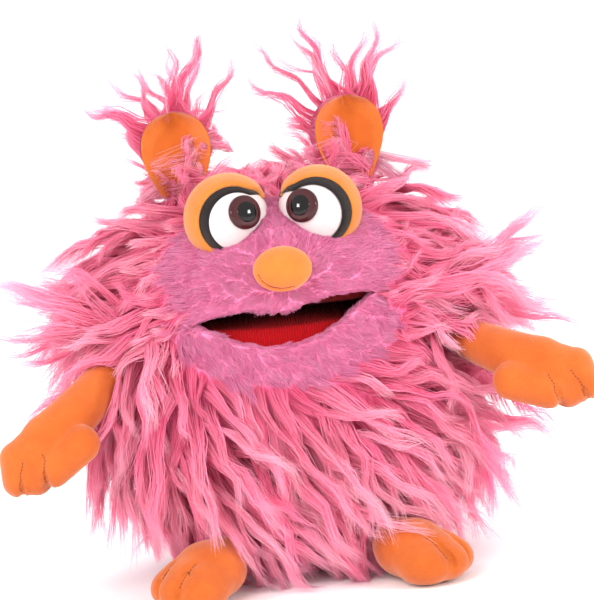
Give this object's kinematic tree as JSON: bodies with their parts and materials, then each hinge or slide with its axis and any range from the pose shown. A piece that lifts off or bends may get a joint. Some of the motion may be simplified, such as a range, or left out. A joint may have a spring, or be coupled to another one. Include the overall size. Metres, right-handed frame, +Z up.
{
  "type": "moving mouth puppet",
  "caption": "Long-haired monster hand puppet with a hinged mouth, domed eyes, cupped ears, stuffed hands and feet, and an open hem for the hand.",
  "frame": {"origin": "middle of the puppet's footprint, on the surface that it sits on", "axes": "+Z up; the face looks along -Y; +X is to the right of someone who faces the puppet"},
  "size_m": [0.2952, 0.1985, 0.264],
  "materials": {
    "long_pile": "long wavy plush pile",
    "short_pile": "short dense plush pile",
    "orange_fleece": "brushed fleece",
    "lid_fleece": "brushed fleece",
    "white_fleece": "brushed fleece",
    "black_felt": "felt",
    "red_jersey": "knitted jersey",
    "iris_plastic": "polished",
    "pupil_plastic": "polished",
    "mouth_board": "stiff fibre sheet",
    "wadding": "loose polyester",
    "glove_lining": "woven lining"
  },
  "bodies": {
    "body": {"body_skin": "long_pile", "throat_gusset": "long_pile", "nape_gusset": "long_pile", "left_cheek_gusset": "long_pile", "right_cheek_gusset": "long_pile", "body_wadding": "wadding", "hem_band": "glove_lining", "glove_lining": "glove_lining", "mouth_fold": "red_jersey"},
    "head": {"head_skin": "long_pile", "face_plush": "short_pile", "head_wadding": "wadding", "palate_board": "mouth_board", "palate_lining": "red_jersey", "finger_pocket": "glove_lining", "nose": "orange_fleece", "left_eyeball": "white_fleece", "left_eyelid": "lid_fleece", "left_lash": "black_felt", "left_iris": "iris_plastic", "left_pupil": "pupil_plastic", "right_eyeball": "white_fleece", "right_eyelid": "lid_fleece", "right_lash": "black_felt", "right_iris": "iris_plastic", "right_pupil": "pupil_plastic"},
    "jaw": {"chin_plush": "short_pile", "chin_wadding": "wadding", "jaw_board": "mouth_board", "jaw_lining": "red_jersey", "thumb_pocket": "glove_lining"},
    "left_ear": {"left_ear_front": "orange_fleece", "left_ear_back": "long_pile"},
    "left_arm": {"left_arm_sleeve": "orange_fleece", "left_hand": "orange_fleece"},
    "left_foot": {"left_foot_upper": "orange_fleece", "left_foot_sole": "orange_fleece"},
    "right_ear": {"right_ear_front": "orange_fleece", "right_ear_back": "long_pile"},
    "right_arm": {"right_arm_sleeve": "orange_fleece", "right_hand": "orange_fleece"},
    "right_foot": {"right_foot_upper": "orange_fleece", "right_foot_sole": "orange_fleece"}
  },
  "joints": [
    {"name": "head_tilt", "type": "hinge", "parent": "body", "child": "head", "pos_m": [0, -0.0255, 0.135], "axis": [-1, 0, 0], "range_deg": [-8, 15], "deforming": ["nape_gusset", "left_cheek_gusset", "right_cheek_gusset"]},
    {"name": "jaw_open", "type": "hinge", "parent": "body", "child": "jaw", "pos_m": [0, -0.0255, 0.135], "axis": [1, 0, 0], "range_deg": [-8, 18], "deforming": ["throat_gusset"]},
    {"name": "left_ear_flop", "type": "hinge", "parent": "head", "child": "left_ear", "pos_m": [-0.044, 0.0045, 0.199], "axis": [-1, 0, 0], "range_deg": [-18, 15], "stiffness_Nm_per_rad": 0.06},
    {"name": "right_ear_flop", "type": "hinge", "parent": "head", "child": "right_ear", "pos_m": [0.044, 0.0045, 0.199], "axis": [-1, 0, 0], "range_deg": [-18, 15], "stiffness_Nm_per_rad": 0.06},
    {"name": "left_arm_swing", "type": "hinge", "parent": "body", "child": "left_arm", "pos_m": [-0.087, -0.0535, 0.11], "axis": [0, -1, 0], "range_deg": [-60, 40]},
    {"name": "right_arm_swing", "type": "hinge", "parent": "body", "child": "right_arm", "pos_m": [0.087, -0.0535, 0.11], "axis": [0, 1, 0], "range_deg": [-75, 30]},
    {"name": "left_foot_flop", "type": "hinge", "parent": "body", "child": "left_foot", "pos_m": [-0.03803, -0.05653, 0.017], "axis": [-0.7071, 0.7071, 0], "range_deg": [-20, 30]},
    {"name": "right_foot_flop", "type": "hinge", "parent": "body", "child": "right_foot", "pos_m": [0.03803, -0.05653, 0.017], "axis": [-0.7071, -0.7071, 0], "range_deg": [-20, 30]}
  ]
}
